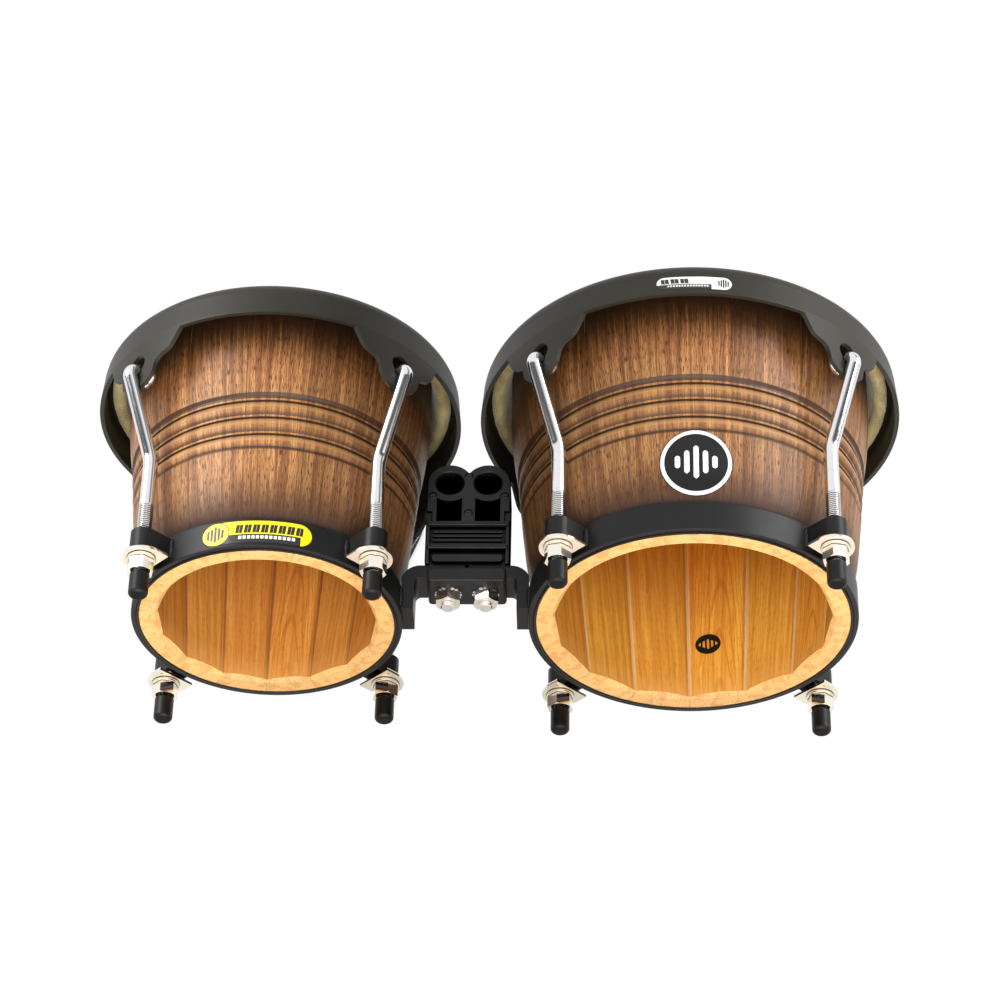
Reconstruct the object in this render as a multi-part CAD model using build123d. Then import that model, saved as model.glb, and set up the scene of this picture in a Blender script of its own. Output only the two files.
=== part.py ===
from build123d import *
import math
import os

# Bongo drums: a small and a large coopered shell joined by a centre block.
# Millimetres, +Z up. The origin is on the plane the rubber rod caps stand on, midway along
# the pair, with -Y the player's far side and the small drum on -X.
# Every drum part is drawn about the drum's own axis with z = 0 at the shell's bottom edge.

# Whole object
FEET_DROP = 24.5
AXIS_SPACING = 234.7
SMALL_AXIS_X = -125.3
LARGE_AXIS_X = SMALL_AXIS_X + AXIS_SPACING
LARGER_BY = 15.875
CENTRE_FROM_SMALL_AXIS = 110.0
FIT = 0.05

# Shell
SHELL_DEPTH = 165.0
STAVES = 15
GLUE_LINE = 0.10
SMALL_STAVE_TURN = -1.3
LARGE_STAVE_TURN = -6.0
SHELL_FOOT_R = 70.2
SHELL_TOP_R = 86.0
SHELL_FOOT_Z = 18.9
BELT_Z = (62.6, 97.3)
BELT_LOW_R = 78.65
BELT_CONE = 0.097
BEADS = 3
BEAD_PITCH = 10.6
BEAD_LENGTH = 8.9
BEAD_SINK = 2.0
LEDGE_SINK = 1.2
INNER_FOOT_R = 58.9
INNER_TOP_R = 76.2
MOUTH_BEVEL_R = 61.6
MOUTH_BEVEL_HEIGHT = 6.0

# Bottom ring
BAND_R = 74.76
BAND_THICKNESS = 3.0
BAND_HEIGHT = 18.0
LINER_PROUD = 0.7

# Lugs, rods, nuts
LUG_ANGLES = {"front_left": 225, "front_right": 315, "back_right": 45, "back_left": 135}
ROD_CIRCLE_R = 88.2
ROD_R = 4.0
THREAD_PITCH = 1.25
STRAP_Z = (3.05, 16.0)
STRAP_OUTER_R = 7.0
STRAP_THICKNESS = 2.5
SADDLE_NOSE_R = 10.3
SADDLE_FLAT_R = 79.0
SADDLE_HALF_LENGTH = 11.5
SADDLE_THICKNESS = 3.0
SADDLE_EDGE_R = 2.2
WASHER_R = 7.75
WASHER_THICKNESS = 2.0
SLIP_HOLE_R = 4.3
NUT_FLATS = 13.0
NUT_HEIGHT = 7.45
NUT_GAP = 0.05
NUT_BORE_R = ROD_R + FIT
CAP_R = 5.35
CAP_TOP_Z = -10.7
CAP_BORE_DEPTH = 9.6
ROD_BEND_Z = 65.0
ROD_TOP_R = 109.8
ROD_HOOK_Z = 118.0
ROD_HOOK_BEND_R = 4.2
ROD_LOWER_BEND_R = 22.0
ROD_HEAD_R = 5.7
ROD_HEAD_SPAN = (94.0, 97.2)

# Rim and head
RIM_R = 103.7
RIM_THICKNESS = 2.4
RIM_SKIRT_Z = 136.4
RIM_SHOULDER = (102.5, 150.5)
RIM_CROWN = (92.5, 161.2)
RIM_LIP_R = 90.2
PLATE_FOOT_Z = 106.3
KEYHOLE_R = 6.2
KEYHOLE_Z = 122.4
POCKET_R = 6.4
HOOP_R = 93.5
HOOP_Z = 151.4
HOOP_WIRE_R = 2.6
TUCK_R = 4.2
SKIN_THICKNESS = 1.0

# Centre hardware
BRACKET_HALF_WIDTH = 10.5
BRACKET_THICKNESS = 7.5
BRACKET_FOOT_Z = 3.0
BRACKET_TOP_Z = 31.5
BRACKET_BEND_R = 11.0
CLAMP_SIZE = (43.6, 24.6, 9.3)
CLAMP_FLOOR_Z = 20.2
CLAMP_THICKNESS = 3.7
CLAMP_WALL = 1.7
CLAMP_CORNER_R = 2.4
BOLT_SPACING = 20.7
BOLT_END_Z = 9.8
BOLT_HEAD_Z = 40.0
BLOCK_NUT_TURNS = (30.0, 42.0)
BLOCK_WIDTH = 47.0
BLOCK_DEPTH = 26.0
BLOCK_Z = (31.7, 98.8)
COVER_THICKNESS = 4.0
LOBE_X = 10.75
LOBE_Z = 86.0
LOBE_R = 12.75
BORE_R = 7.8
LOBE_RIM_R = 12.4
WINDOW_HALF_WIDTH = 7.1
WINDOW_Z = (59.8, 80.0)
WINDOW_DEPTH = 11.0
NOTCH_X = (20.0, 24.0)
NOTCH_Z = (59.8, 66.6)
PANEL_Z = (44.6, 56.0)
PANEL_RIBS = 3
LIP_HALF_LENGTH = 22.2
LIP_HEIGHT = 0.9
LIPS_Z = [(41.0, 43.4), (56.6, 58.0)]
JAW_POCKET_Z = (31.0, 40.8)
JAW_Z = (32.7, 37.3)
JAW_HALF_LENGTH = 19.3
COVER_SCREWS = [(0.0, 90.6), (-20.2, 77.1), (20.2, 77.1), (0.0, 65.5)]

# Badge and labels
BADGE_R = 19.5
BADGE_Z = 42.3
BADGE_TILT = 8.0
BADGE_THICKNESS = 0.5
LABEL_THICKNESS = 0.15
RING_LABEL_SIZE = (58.6, 14.0)
RING_LABEL_Z = 9.0
RIM_LABEL_SIZE = (41.0, 9.0)
RIM_LABEL_Z = 144.2


def edge(*points):
    """Straight edges through (radius, height) points of a turned outline."""
    return Polyline(*[(r, 0, z) for r, z in points])


def bow(start, middle, end):
    """Arc through three (radius, height) points of a turned outline."""
    return ThreePointArc(*[(r, 0, z) for r, z in (start, middle, end)])


def turned(outline, degrees=360.0):
    """Solid turned about Z from the closed outline of edges."""
    return revolve(make_face(outline), Axis.Z, degrees)


def ring(inner_r, outer_r, low_z, high_z):
    """Plain ring about Z."""
    height = high_z - low_z
    solid = Cylinder(outer_r, height) - Cylinder(inner_r, height)
    return Pos(0, 0, (low_z + high_z) / 2) * solid


def upright(radius, low_z, high_z):
    """Plain vertical rod about Z."""
    return Pos(0, 0, (low_z + high_z) / 2) * Cylinder(radius, high_z - low_z)


def block(x, y, z):
    """Box from (low, high) pairs along each axis."""
    size = [high - low for low, high in (x, y, z)]
    middle = [(high + low) / 2 for low, high in (x, y, z)]
    return Pos(*middle) * Box(*size)


def around(shape, angles):
    """Copies of a shape turned about Z to each angle."""
    return [Rot(0, 0, angle) * shape for angle in angles]


def belt_r(z):
    """Radius of the cone that the beaded belt is turned into."""
    return BELT_LOW_R + (z - BELT_Z[0]) * BELT_CONE


def shell_flare(grow):
    """Curved side of the shell between the band and the beaded belt."""
    points = [(SHELL_FOOT_R, SHELL_FOOT_Z), (SHELL_FOOT_R + 3.3, 27.5), (SHELL_FOOT_R + 6.3, 43.0)]
    points.append((BELT_LOW_R, BELT_Z[0]))
    return Spline(*[(r + grow, 0, z) for r, z in points])


def shell_side(grow):
    """Outer edges of the shell from bottom to top: flare, beaded belt, flare, straight collar."""

    def belt(z, sink):
        return (belt_r(z) - sink + grow, z)

    foot_r = SHELL_FOOT_R + grow
    start = belt(BELT_Z[0] + 0.2, BEAD_SINK)
    edges = [edge((foot_r, 0), (foot_r, SHELL_FOOT_Z)), shell_flare(grow)]
    edges.append(edge(belt(BELT_Z[0], 0), start))
    for index in range(BEADS):
        z = BELT_Z[0] + 0.2 + index * BEAD_PITCH
        end = belt(z + BEAD_LENGTH, BEAD_SINK)
        edges.append(bow(start, belt(z + BEAD_LENGTH / 2, 0), end))
        start = belt(z + BEAD_PITCH, LEDGE_SINK)
        edges.append(edge(end, belt(z + BEAD_LENGTH + 0.3, LEDGE_SINK), start))
    top = belt(BELT_Z[1], 0)
    edges.append(edge(start, belt(BELT_Z[1] - 1.3, LEDGE_SINK), top))
    collar = SHELL_TOP_R + grow
    edges.append(Spline((top[0], 0, top[1]), (collar - 1.8, 0, 112.0), (collar, 0, 140.0)))
    edges.append(edge((collar, 140.0), (collar, SHELL_DEPTH)))
    return edges


def shell_staves(grow, stave_turn):
    """Staves glued edge to edge, turned round outside and left flat inside."""
    outline = shell_side(grow)
    top_corner = (SHELL_TOP_R + grow, SHELL_DEPTH)
    foot_corner = (SHELL_FOOT_R + grow, 0)
    outline.append(edge(top_corner, (20, SHELL_DEPTH), (20, 0), foot_corner))
    pitch = 360 / STAVES
    glue = math.degrees(GLUE_LINE / (SHELL_FOOT_R + grow))
    stave = Rot(0, 0, (glue - pitch) / 2) * turned(outline, pitch - glue)
    slope = (INNER_TOP_R - INNER_FOOT_R) / SHELL_DEPTH
    inside = [(0, -5), (INNER_FOOT_R + grow - 5 * slope, -5)]
    inside += [(INNER_TOP_R + grow + 5 * slope, SHELL_DEPTH + 5), (0, SHELL_DEPTH + 5), (0, -5)]
    stave -= extrude(make_face(edge(*inside)), amount=30, dir=(0, 1, 0), both=True)
    mouth_r = MOUTH_BEVEL_R + grow
    stave -= Pos(0, 0, MOUTH_BEVEL_HEIGHT / 2 - 0.5) * Cone(
        mouth_r + 0.5, mouth_r - MOUTH_BEVEL_HEIGHT + 0.5, MOUTH_BEVEL_HEIGHT
    )
    return around(stave, [pitch * (index + 0.5) + stave_turn for index in range(STAVES)])


def ring_band(grow):
    """Steel band round the foot of the shell, edges eased."""
    band = ring(BAND_R - BAND_THICKNESS + grow, BAND_R + grow, 0, BAND_HEIGHT)
    return [fillet(band.edges().filter_by(GeomType.CIRCLE), 0.6)]


def ring_liner(grow):
    """Rubber sleeve between the band and the wood, standing proud at both ends."""
    inner = SHELL_FOOT_R + FIT + grow
    outer = BAND_R - BAND_THICKNESS - FIT + grow
    sleeve = ring(inner, outer, -LINER_PROUD, SHELL_FOOT_Z - 0.2)
    ends = sleeve.edges().filter_by(GeomType.CIRCLE)
    return [fillet(ends, (outer - inner) * 0.45)]


def lug_straps(grow):
    """U-shaped steel straps welded to the band, one round each tuning rod."""
    centre = ROD_CIRCLE_R + grow
    root = BAND_R + grow - 2
    inner_r = STRAP_OUTER_R - STRAP_THICKNESS
    low, high = STRAP_Z
    outer = block((root, centre), (-STRAP_OUTER_R, STRAP_OUTER_R), STRAP_Z)
    outer += Pos(centre, 0, 0) * upright(STRAP_OUTER_R, low, high)
    hollow = block((root - 1, centre), (-inner_r, inner_r), (low - 1, high + 1))
    hollow += Pos(centre, 0, 0) * upright(inner_r, low - 1, high + 1)
    strap = outer - hollow - upright(BAND_R + FIT + grow, low - 1, high + 1)
    straps = []
    for turned_strap in around(strap, LUG_ANGLES.values()):
        straps += turned_strap.solids()
    return straps


def saddle_plates(grow):
    """D-shaped plated steel plates under the straps, with a slip hole for the rod."""
    centre = ROD_CIRCLE_R + grow
    flat = SADDLE_FLAT_R + grow
    shoulder = centre - 2.5
    outline = [(flat, -SADDLE_HALF_LENGTH), (shoulder, -SADDLE_HALF_LENGTH)]
    outline += [(centre + 6.5, -8.0), (centre + SADDLE_NOSE_R, 0.0), (centre + 6.5, 8.0)]
    outline += [(shoulder, SADDLE_HALF_LENGTH), (flat, SADDLE_HALF_LENGTH)]
    sides = [Line(outline[0], outline[1]), Spline(*outline[1:6]), Line(outline[5], outline[6])]
    face = make_face(sides + [Line(outline[6], outline[0])])
    plate = extrude(face, amount=SADDLE_THICKNESS)
    plate = fillet(plate.edges().group_by(Axis.Z)[-1], SADDLE_EDGE_R)
    plate -= Pos(centre, 0, 0) * upright(SLIP_HOLE_R, -1, SADDLE_THICKNESS + 1)
    return around(plate, LUG_ANGLES.values())


def washers(grow):
    """Plain round washers between the saddle plates and the nuts."""
    washer = ring(SLIP_HOLE_R, WASHER_R, -WASHER_THICKNESS, 0)
    washer = fillet(washer.edges().filter_by(GeomType.CIRCLE).group_by(SortBy.RADIUS)[-1], 0.4)
    return around(Pos(ROD_CIRCLE_R + grow, 0, 0) * washer, LUG_ANGLES.values())


def hex_nut(low_z, height):
    """Hexagon nut about Z with its corners chamfered, a corner on the X axis."""
    corner_r = NUT_FLATS / 2 / math.cos(math.pi / 6)
    nut = extrude(RegularPolygon(corner_r, 6), amount=height)
    body = upright(corner_r, 0, height)
    nut &= chamfer(body.edges().filter_by(GeomType.CIRCLE), 0.5, 0.9)
    nut -= upright(NUT_BORE_R, -1, height + 1)
    return Pos(0, 0, low_z) * nut


def tuning_nut(angle, grow):
    """One hexagon tuning nut under the lug at an angle."""
    top = -WASHER_THICKNESS - NUT_GAP
    nut = Pos(ROD_CIRCLE_R + grow, 0, 0) * hex_nut(top - NUT_HEIGHT, NUT_HEIGHT)
    return around(nut, [angle])


def tuning_rods(grow):
    """Threaded rods, each bent into a hook with a forged head that passes the rim's keyhole."""
    low_r = ROD_CIRCLE_R + grow
    top_r = ROD_TOP_R + grow
    head_low, head_high = [r + grow for r in ROD_HEAD_SPAN]
    path = FilletPolyline(
        (low_r, 0, CAP_TOP_Z - CAP_BORE_DEPTH + 0.2),
        (low_r, 0, ROD_BEND_Z),
        (top_r, 0, ROD_HOOK_Z),
        (head_low + 1, 0, ROD_HOOK_Z),
        radius=(ROD_LOWER_BEND_R, ROD_HOOK_BEND_R),
    )
    rod = sweep(Plane(path @ 0, z_dir=path % 0) * Circle(ROD_R), path=path)
    head = upright(ROD_HEAD_R, head_low, head_high)
    head = fillet(head.edges().filter_by(GeomType.CIRCLE), 1.2)
    rod += Pos(0, 0, ROD_HOOK_Z) * Rot(0, 90, 0) * head
    return around(rod, LUG_ANGLES.values())


def rod_caps(grow):
    """Rubber caps on the lower ends of the rods; the drums stand on them."""
    cap = upright(CAP_R, -FEET_DROP, CAP_TOP_Z)
    cap = fillet(cap.edges().group_by(Axis.Z)[0], 2.4)
    cap = fillet(cap.edges().group_by(Axis.Z)[-1], 0.4)
    cap -= upright(ROD_R + FIT, CAP_TOP_Z - CAP_BORE_DEPTH, CAP_TOP_Z + 1)
    return around(Pos(ROD_CIRCLE_R + grow, 0, 0) * cap, LUG_ANGLES.values())


def keep_plates(grow):
    """Everything above the skirt's edge, and the four side plates hanging below it."""
    half = [(0.0, PLATE_FOOT_Z), (7.5, PLATE_FOOT_Z + 0.5), (12.6, 111.5), (14.6, 120.5)]
    half += [(24.0, 124.5), (32.0, 140.0)]
    points = [(0, y, z) for y, z in half] + [(0, -y, z) for y, z in reversed(half[1:])]
    radii = (0, 5, 5, 7, 9, 0, 0, 9, 7, 5, 5)
    outline = FilletPolyline(*points, radius=radii, close=True)
    plate = extrude(make_face(outline), amount=RIM_R + grow + 20, dir=(1, 0, 0))
    hole = Rot(0, 90, 0) * upright(KEYHOLE_R, 0, RIM_R + grow + 30)
    slot = Rot(0, 90, 0) * upright(ROD_R + 0.1, 0, RIM_R + grow + 30)
    plate -= Pos(0, 0, KEYHOLE_Z) * hole
    plate -= Pos(0, 0, ROD_HOOK_Z) * slot
    keep = upright(RIM_R + grow + 10, RIM_SKIRT_Z, RIM_SKIRT_Z + 40)
    for turned_plate in around(plate, LUG_ANGLES.values()):
        keep += turned_plate
    return keep


def slanted(radius, grow):
    """Round bar along the slanted stretch of a tuning rod."""
    lean = math.degrees(math.atan2(ROD_TOP_R - ROD_CIRCLE_R, ROD_HOOK_Z - ROD_BEND_Z))
    return Pos(ROD_TOP_R + grow, 0, ROD_HOOK_Z) * Rot(0, lean, 0) * Cylinder(radius, 60)


def rim(grow):
    """Steel counterhoop: curled over the hoop, with a plate and a pressed pocket for each rod."""
    shoulder_r, shoulder_z = RIM_SHOULDER
    crown_r, crown_z = RIM_CROWN
    t = RIM_THICKNESS
    bend = crown_z - shoulder_z
    middle = math.sqrt(0.5)
    outer_mid = (crown_r + (shoulder_r - crown_r) * middle, shoulder_z + bend * middle)
    inner_mid = (outer_mid[0] - t * middle, outer_mid[1] - t * middle)
    shift = lambda r, z: (r + grow, z)
    outer = [shift(RIM_R, PLATE_FOOT_Z - 1), shift(RIM_R, RIM_SKIRT_Z + 1), shift(shoulder_r, shoulder_z)]
    inner = [shift(shoulder_r - t, shoulder_z), shift(RIM_R - t, RIM_SKIRT_Z + 1)]
    inner.append(shift(RIM_R - t, PLATE_FOOT_Z - 1))
    outline = [edge(*outer), edge(*inner), edge(inner[-1], outer[0])]
    outline.append(bow(outer[-1], shift(*outer_mid), shift(crown_r, crown_z)))
    outline.append(bow(shift(crown_r, crown_z - t), shift(*inner_mid), inner[0]))
    lip_r = RIM_LIP_R + grow
    outline.append(edge((crown_r + grow, crown_z), (lip_r, crown_z)))
    outline.append(bow((lip_r, crown_z), (lip_r - t / 2, crown_z - t / 2), (lip_r, crown_z - t)))
    outline.append(edge((lip_r, crown_z - t), (crown_r + grow, crown_z - t)))
    hoop = turned(outline) & keep_plates(grow)
    under_hook = block((0, RIM_R + grow + 20), (-20, 20), (PLATE_FOOT_Z - 5, ROD_HOOK_Z - ROD_R + 0.1))
    channel = slanted(ROD_R + 0.2, grow) & under_hook
    behind_rod = block((0, RIM_R + grow - 0.6), (-20, 20), (PLATE_FOOT_Z + 0.1, ROD_HOOK_Z - ROD_R - 0.6))
    pocket = (slanted(POCKET_R, grow) & behind_rod) - channel
    for turned_channel in around(channel, LUG_ANGLES.values()):
        hoop -= turned_channel
    for turned_pocket in around(pocket, LUG_ANGLES.values()):
        hoop += turned_pocket
    return hoop.solids()


def head_skin(grow):
    """Stretched hide over the bearing edge, with its collar down the outside of the shell."""
    collar_r = SHELL_TOP_R + grow + FIT
    disc = ring(0.0, collar_r + SKIN_THICKNESS, SHELL_DEPTH + FIT, SHELL_DEPTH + FIT + SKIN_THICKNESS)
    disc += ring(collar_r, collar_r + SKIN_THICKNESS, 156.0, SHELL_DEPTH + FIT + 0.5)
    rim_edge = disc.edges().filter_by(GeomType.CIRCLE).group_by(Axis.Z)[-1]
    return [fillet(rim_edge, 0.8)]


def flesh_hoop(grow):
    """Steel wire hoop rolled inside the edge of the hide."""
    return [Pos(0, 0, HOOP_Z) * Torus(HOOP_R + grow, HOOP_WIRE_R)]


def skin_tuck(grow):
    """Edge of the hide rolled round the wire hoop."""
    centre = Pos(0, 0, HOOP_Z)
    return [centre * (Torus(HOOP_R + grow, TUCK_R) - Torus(HOOP_R + grow, HOOP_WIRE_R + FIT))]


def drum_parts(grow, stave_turn):
    """Node names and solids of one drum, about its own axis."""
    parts = {
        "shell_staves": shell_staves(grow, stave_turn),
        "ring_band": ring_band(grow),
        "ring_liner": ring_liner(grow),
        "lug_straps": lug_straps(grow),
        "saddle_plates": saddle_plates(grow),
        "washers": washers(grow),
        "tuning_rods": tuning_rods(grow),
        "rod_caps": rod_caps(grow),
        "rim": rim(grow),
        "head_skin": head_skin(grow),
        "flesh_hoop": flesh_hoop(grow),
        "skin_tuck": skin_tuck(grow),
    }
    for place, angle in LUG_ANGLES.items():
        parts["nut_" + place] = tuning_nut(angle, grow)
    return parts


def side_bracket(side, ring_r, axis_offset):
    """Bent flat-bar bracket: its leg is welded to a band, its arm reaches under the block."""
    leg = axis_offset - ring_r + 1.2
    low, top = BRACKET_FOOT_Z, BRACKET_TOP_Z
    inner = leg - BRACKET_THICKNESS
    under = top - BRACKET_THICKNESS
    outside = [(leg, 0, low), (leg, 0, top), (1.0, 0, top)]
    points = outside + [(1.0, 0, under), (inner, 0, under), (inner, 0, low)]
    radii = (0, BRACKET_BEND_R, 0, 0, BRACKET_BEND_R - BRACKET_THICKNESS, 0)
    outline = FilletPolyline(*points, radius=radii, close=True)
    bar = extrude(make_face(outline), amount=BRACKET_HALF_WIDTH, dir=(0, 1, 0), both=True)
    bar -= Pos(axis_offset, 0, 0) * upright(ring_r + FIT, low - 1, top + 1)
    bar -= Pos(BOLT_SPACING / 2, 0, 0) * upright(SLIP_HOLE_R, low, top + 1)
    if side < 0:
        bar = mirror(bar, about=Plane.YZ)
    return bar.solids()


def clamp_bar():
    """Steel channel that squeezes both bracket arms up against the block."""
    length, depth, height = CLAMP_SIZE
    top = CLAMP_FLOOR_Z + height
    front = Pos(0, CLAMP_FLOOR_Z + height / 2) * RectangleRounded(length, height, CLAMP_CORNER_R)
    bar = Pos(0, depth / 2, 0) * extrude(Plane.XZ * front, amount=depth)
    outlines = bar.edges().group_by(Axis.Y)
    bar = fillet(outlines[0] + outlines[-1], 1.4)
    inside = depth / 2 - CLAMP_WALL
    floor = CLAMP_FLOOR_Z + CLAMP_THICKNESS
    bar -= block((-length, length), (-inside, inside), (floor, top + 1))
    for x in (-BOLT_SPACING / 2, BOLT_SPACING / 2):
        bar -= Pos(x, 0, 0) * upright(SLIP_HOLE_R, CLAMP_FLOOR_Z - 1, floor + 1)
    return [bar]


def block_outline():
    """Front view of the block: straight sides, soft bottom corners and a two-lobed top."""
    half = BLOCK_WIDTH / 2
    low = BLOCK_Z[0]
    body = Pos(0, (low + LOBE_Z) / 2) * Rectangle(BLOCK_WIDTH, LOBE_Z - low)
    body = fillet(body.vertices().group_by(Axis.Y)[0], 1.5)
    for x in (-LOBE_X, LOBE_X):
        body += Pos(x, LOBE_Z) * Circle(LOBE_R)
    body += Pos(0, LOBE_Z + 3.0) * Rectangle(8.0, 9.0)
    return body & Pos(0, LOBE_Z) * Rectangle(2 * half, 200)


def block_slab(near_y, far_y):
    """Slice of the block between two depths, with the two round bores through it."""
    slab = extrude(Plane.XZ * block_outline(), amount=far_y - near_y)
    slab = Pos(0, far_y, 0) * slab
    for x in (-LOBE_X, LOBE_X):
        slab -= Pos(x, 0, LOBE_Z) * Rot(90, 0, 0) * Cylinder(BORE_R, BLOCK_DEPTH + 10)
    return slab


def windows():
    """Blind square pockets under both bores, from the front and from the back."""
    outer = BLOCK_DEPTH / 2
    cuts = []
    for x in (-LOBE_X, LOBE_X):
        across = (x - WINDOW_HALF_WIDTH, x + WINDOW_HALF_WIDTH)
        cut = block(across, (-outer - 1, WINDOW_DEPTH - outer), WINDOW_Z)
        cut -= Pos(x, 0, LOBE_Z) * Rot(90, 0, 0) * Cylinder(LOBE_RIM_R, 2 * BLOCK_DEPTH)
        cuts += [cut, Rot(0, 0, 180) * cut]
    return cuts


def block_core():
    """Middle of the block, bored for the bolts and pocketed for their heads."""
    inside = BLOCK_DEPTH / 2 - COVER_THICKNESS
    core = block_slab(-inside, inside)
    for window in windows():
        core -= window
    for x in (-BOLT_SPACING / 2, BOLT_SPACING / 2):
        core -= Pos(x, 0, 0) * upright(SLIP_HOLE_R, BLOCK_Z[0] - 1, BOLT_HEAD_Z + 1)
        head = (BOLT_HEAD_Z, BOLT_HEAD_Z + 6.0)
        core -= block((x - 7.6, x + 7.6), (-inside - 1, 7.6), head)
    for x, z in COVER_SCREWS:
        core -= Pos(x, 0, z) * Rot(90, 0, 0) * Cylinder(1.3, 2 * inside + 2)
    return [core]


def block_cover(side):
    """Moulded cover: a face with two windows, a ribbed panel between lips and a jaw bar below."""
    outer = BLOCK_DEPTH / 2
    cover = block_slab(-outer, -outer + COVER_THICKNESS - FIT)
    face_y = -outer
    edges = cover.edges().filter_by(lambda e: abs(e.center().Y - face_y) < 1e-4)
    cover = chamfer(edges, 0.6)
    for window in windows():
        cover -= window
    for way in (-1, 1):
        across = sorted((way * NOTCH_X[0], way * NOTCH_X[1]))
        cover -= block(across, (-outer - 1, -outer + 1.0), NOTCH_Z)
    for lip_z in LIPS_Z:
        lip = block((-LIP_HALF_LENGTH, LIP_HALF_LENGTH), (-outer - LIP_HEIGHT, -outer + 1), lip_z)
        cover += chamfer(lip.edges().group_by(Axis.Y)[0], 0.3)
    cover -= block((-21.3, 21.3), (-outer - 1, -outer + 2.4), JAW_POCKET_Z)
    jaw = block((-JAW_HALF_LENGTH, JAW_HALF_LENGTH), (-outer + 0.2, -outer + 3), JAW_Z)
    cover += fillet(jaw.edges().filter_by(Axis.Y), 1.6)
    reach = BLOCK_WIDTH / 2 - 2.2
    cover -= block((-reach, reach), (-outer - 1, -outer + 1.8), PANEL_Z)
    rib_pitch = (PANEL_Z[1] - PANEL_Z[0]) / (PANEL_RIBS + 1)
    for index in range(PANEL_RIBS):
        z = PANEL_Z[0] + rib_pitch * (index + 1)
        cover += block((-reach + 2, reach - 2), (-outer + 0.9, -outer + 2), (z - 0.7, z + 0.7))
    for x, z in COVER_SCREWS:
        cover -= Pos(x, -outer, z) * Rot(90, 0, 0) * Cylinder(2.5, 4.0)
        cover -= Pos(x, -outer, z) * Rot(90, 0, 0) * Cylinder(1.4, 12.0)
    if side > 0:
        cover = Rot(0, 0, 180) * cover
    return cover.solids()


def cover_screws():
    """Pan-head screws, four in each cover."""
    outer = BLOCK_DEPTH / 2
    head = upright(2.3, 0, 1.7)
    head = fillet(head.edges().group_by(Axis.Z)[-1], 0.7)
    screw = head + upright(1.2, -9.0, 0.1)
    screw -= block((-1.6, 1.6), (-0.3, 0.3), (1.1, 3.0))
    screws = []
    for x, z in COVER_SCREWS:
        front = Pos(x, -outer + 1.95, z) * Rot(90, 0, 0) * screw
        screws += [front, Rot(0, 0, 180) * front]
    return screws


def block_bolts():
    """Hexagon-head bolts hanging from the block through both arms and the clamp bar."""
    corner_r = NUT_FLATS / 2 / math.cos(math.pi / 6)
    shank = upright(ROD_R, BOLT_END_Z - BOLT_HEAD_Z - FIT, 0.1)
    bolt = extrude(RegularPolygon(corner_r, 6), amount=5.3) + shank
    bolt = chamfer(bolt.edges().group_by(Axis.Z)[0], 0.6)
    bolt = Pos(0, 0, BOLT_HEAD_Z + FIT) * bolt
    return [Pos(x, 0, 0) * bolt for x in (-BOLT_SPACING / 2, BOLT_SPACING / 2)]


def toothed_washers():
    """Toothed lock washers under the clamp bar."""
    teeth = 16
    washer = upright(6.7, CLAMP_FLOOR_Z - 1.3, CLAMP_FLOOR_Z)
    tooth = block((6.0, 7.4), (-0.9, 0.9), (CLAMP_FLOOR_Z - 1.3, CLAMP_FLOOR_Z))
    for copy in around(tooth, [360 / teeth * index for index in range(teeth)]):
        washer += copy
    washer -= upright(SLIP_HOLE_R, 0, CLAMP_FLOOR_Z + 1)
    return [Pos(x, 0, 0) * washer for x in (-BOLT_SPACING / 2, BOLT_SPACING / 2)]


def block_nuts():
    """Hexagon nuts that hold the clamp bar up."""
    height = 6.4
    nut = hex_nut(CLAMP_FLOOR_Z - 1.3 - height, height)
    places = zip((-BOLT_SPACING / 2, BOLT_SPACING / 2), BLOCK_NUT_TURNS)
    return [Pos(x, 0, 0) * Rot(0, 0, turn) * nut for x, turn in places]


def centre_parts():
    """Node names and solids of the centre hardware, about the block's own middle."""
    to_large = AXIS_SPACING - CENTRE_FROM_SMALL_AXIS
    return {
        "small_drum_bracket": side_bracket(-1, BAND_R, CENTRE_FROM_SMALL_AXIS),
        "large_drum_bracket": side_bracket(1, BAND_R + LARGER_BY, to_large),
        "clamp_bar": clamp_bar(),
        "block_core": block_core(),
        "block_front_cover": block_cover(-1),
        "block_back_cover": block_cover(1),
        "cover_screws": cover_screws(),
        "block_bolts": block_bolts(),
        "toothed_washers": toothed_washers(),
        "block_nuts": block_nuts(),
    }


def shell_badge():
    """Thin round metal badge curved to the front of the large shell."""
    near = shell_flare(LARGER_BY + FIT)
    far = shell_flare(LARGER_BY + FIT + BADGE_THICKNESS)
    near_top = near @ 1 + (near % 1) * 8
    far_top = far @ 1 + (far % 1) * 8
    outline = [near, far, Line(near @ 0, far @ 0), Line(near_top, far_top)]
    outline += [Line(near @ 1, near_top), Line(far @ 1, far_top)]
    front_y = -(belt_r(BADGE_Z) + LARGER_BY)
    punch = Pos(0, front_y, BADGE_Z) * Rot(90 + BADGE_TILT, 0, 0) * Cylinder(BADGE_R, 40)
    return (turned(outline) & punch).solids()


def pill_label(low_r, high_r, middle_z, size):
    """Thin pill-shaped label wrapped on the front of a cylinder or cone about Z."""
    length, height = size
    low, high = middle_z - height / 2, middle_z + height / 2
    near, far = 0.02, 0.02 + LABEL_THICKNESS
    points = [(low_r + near, low), (high_r + near, high), (high_r + far, high), (low_r + far, low)]
    film = turned(edge(*points, points[0]))
    stadium = extrude(Plane.XZ * SlotOverall(length, height), amount=low_r + 20)
    return (film & (Pos(0, 0, middle_z) * stadium)).solids()


def rim_side_r(z):
    """Outer radius of the small rim's sloping skirt at a height."""
    shoulder_r, shoulder_z = RIM_SHOULDER
    slope = (shoulder_r - RIM_R) / (shoulder_z - RIM_SKIRT_Z - 1)
    return RIM_R + (z - RIM_SKIRT_Z - 1) * slope


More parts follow.
